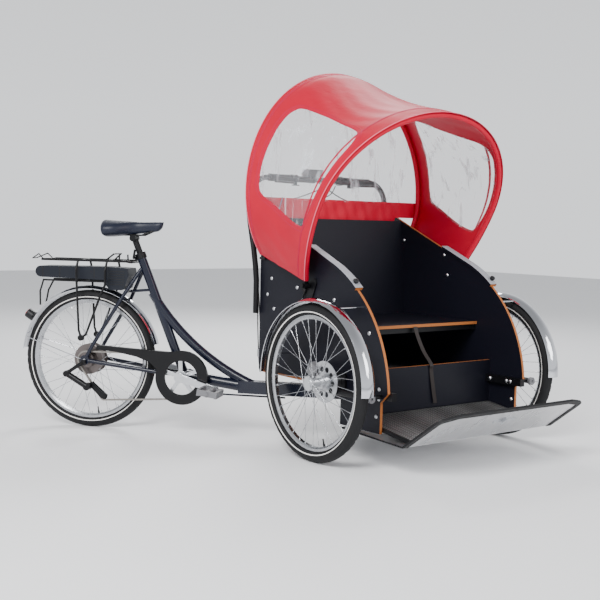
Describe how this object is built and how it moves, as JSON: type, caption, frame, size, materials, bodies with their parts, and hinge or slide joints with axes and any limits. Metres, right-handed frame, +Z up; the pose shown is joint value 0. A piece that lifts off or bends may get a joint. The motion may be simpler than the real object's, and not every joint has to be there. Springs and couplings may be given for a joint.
{
  "type": "passenger cargo tricycle",
  "caption": "Passenger cargo bicycle: a bench box with a folding hood between two front wheels, steered about a kingpin, with an electric rear half.",
  "frame": {"origin": "on the ground under the centre of the whole object's box", "axes": "+X along the box's forward direction, +Y to its left, +Z up; the rear half lies 40.2 degrees round from straight"},
  "size_m": [1.8846, 1.6923, 1.569],
  "materials": {
    "black_steel": "satin",
    "bright_steel": "satin",
    "ply_face": "satin",
    "ply_edge": "matte",
    "tread": "satin",
    "stainless": "brushed",
    "rubber": "matte",
    "webbing": "matte",
    "chrome": "polished",
    "grey_plastic": "matte",
    "black_plastic": "matte",
    "cable": "satin",
    "hood_fabric": "satin",
    "clear_vinyl": "gloss",
    "tyre": "matte",
    "rim": "satin",
    "frame_paint": "gloss",
    "bronze": "satin",
    "saddle": "satin",
    "battery_case": "gloss",
    "lamp": "gloss",
    "chain_steel": "satin",
    "motor": "satin"
  },
  "bodies": {
    "box_half": {"front_frame": "black_steel", "steering_yoke": "black_steel", "kingpin": "bright_steel", "front_axles": "bright_steel", "side_panel_right": "ply_face", "side_panel_left": "ply_face", "back_panel": "ply_face", "seat_board": "ply_face", "kick_panel": "ply_face", "storage_floor": "ply_face", "foot_floor": "ply_edge", "tread_plate": "tread", "footplate": "stainless", "footplate_trim": "rubber", "catches": "black_steel", "inner_rails": "black_steel", "panel_bolts": "bright_steel", "armrests": "ply_edge", "seat_strap": "webbing", "front_fenders": "chrome", "tube_plugs": "grey_plastic", "front_calipers": "black_steel", "handlebar": "black_steel", "grips": "rubber", "bar_controls": "black_plastic", "display": "black_plastic", "control_cables": "cable", "hood_brackets": "black_steel", "rear_hoop": "black_steel", "hood_cover": "hood_fabric", "hood_windows": "clear_vinyl"},
    "hood_front": {"front_hoop": "black_steel"},
    "right_lever": {"brake_lever_right": "black_steel"},
    "left_lever": {"brake_lever_left": "black_steel"},
    "right_wheel": {"right_tyre": "tyre", "right_rim": "rim", "right_hub": "bright_steel"},
    "left_wheel": {"left_tyre": "tyre", "left_rim": "rim", "left_hub": "bright_steel"},
    "rear_wheel": {"rear_tyre": "tyre", "rear_rim": "rim", "rear_hub": "motor"},
    "cranks": {"crankset": "bright_steel"},
    "right_pedal_unit": {"right_pedal": "grey_plastic"},
    "left_pedal_unit": {"left_pedal": "grey_plastic"},
    "saddle_unit": {"seat_post": "black_steel", "saddle": "saddle"},
    "battery_pack": {"battery": "battery_case"},
    "rear_half": {"bike_frame": "frame_paint", "head_bushes": "bronze", "seat_clamp": "black_steel", "rear_fender": "chrome", "rack": "black_steel", "controller": "black_plastic", "tail_light": "lamp", "chain_case": "black_plastic", "chain": "chain_steel", "derailleur": "black_plastic", "rear_axle": "bright_steel"}
  },
  "joints": [
    {"name": "steering", "type": "hinge", "parent": "box_half", "child": "rear_half", "pos_m": [0.411, 0.303, 0.215], "axis": [0, 0, 1], "range_deg": [-88, 7]},
    {"name": "right_wheel_spin", "type": "hinge", "parent": "box_half", "child": "right_wheel", "pos_m": [0.366, -0.208, 0.3035], "axis": [0, 1, 0], "continuous": true},
    {"name": "left_wheel_spin", "type": "hinge", "parent": "box_half", "child": "left_wheel", "pos_m": [0.366, 0.814, 0.3035], "axis": [0, 1, 0], "continuous": true},
    {"name": "rear_wheel_spin", "type": "hinge", "parent": "rear_half", "child": "rear_wheel", "pos_m": [-0.68581, -0.62388, 0.3], "axis": [-0.6455, 0.7638, 0], "continuous": true},
    {"name": "crank_spin", "type": "hinge", "parent": "rear_half", "child": "cranks", "pos_m": [-0.35585, -0.34504, 0.248], "axis": [-0.6455, 0.7638, 0], "continuous": true},
    {"name": "right_pedal_spin", "type": "hinge", "parent": "cranks", "child": "right_pedal_unit", "pos_m": [-0.15021, -0.34146, 0.2053], "axis": [-0.6455, 0.7638, 0], "continuous": true},
    {"name": "left_pedal_spin", "type": "hinge", "parent": "cranks", "child": "left_pedal_unit", "pos_m": [-0.56149, -0.34862, 0.2907], "axis": [-0.6455, 0.7638, 0], "continuous": true},
    {"name": "saddle_height", "type": "slide", "parent": "rear_half", "child": "saddle_unit", "axis": [-0.2865, -0.2421, 0.927], "range_m": [0, 0.1]},
    {"name": "battery_slide", "type": "slide", "parent": "rear_half", "child": "battery_pack", "axis": [-0.7638, -0.6455, 0], "range_m": [0, 0.33]},
    {"name": "hood_fold", "type": "hinge", "parent": "box_half", "child": "hood_front", "pos_m": [0.161, 0.303, 0.66], "axis": [0, -1, 0], "range_deg": [0, 48], "deforming": ["hood_cover", "hood_windows"]},
    {"name": "right_brake", "type": "hinge", "parent": "box_half", "child": "right_lever", "pos_m": [-0.239, 0.139, 1.086], "axis": [0, 0, 1], "range_deg": [-9, 0], "stiffness_Nm_per_rad": 2},
    {"name": "left_brake", "type": "hinge", "parent": "box_half", "child": "left_lever", "pos_m": [-0.239, 0.467, 1.086], "axis": [0, 0, 1], "range_deg": [0, 9], "stiffness_Nm_per_rad": 2}
  ]
}
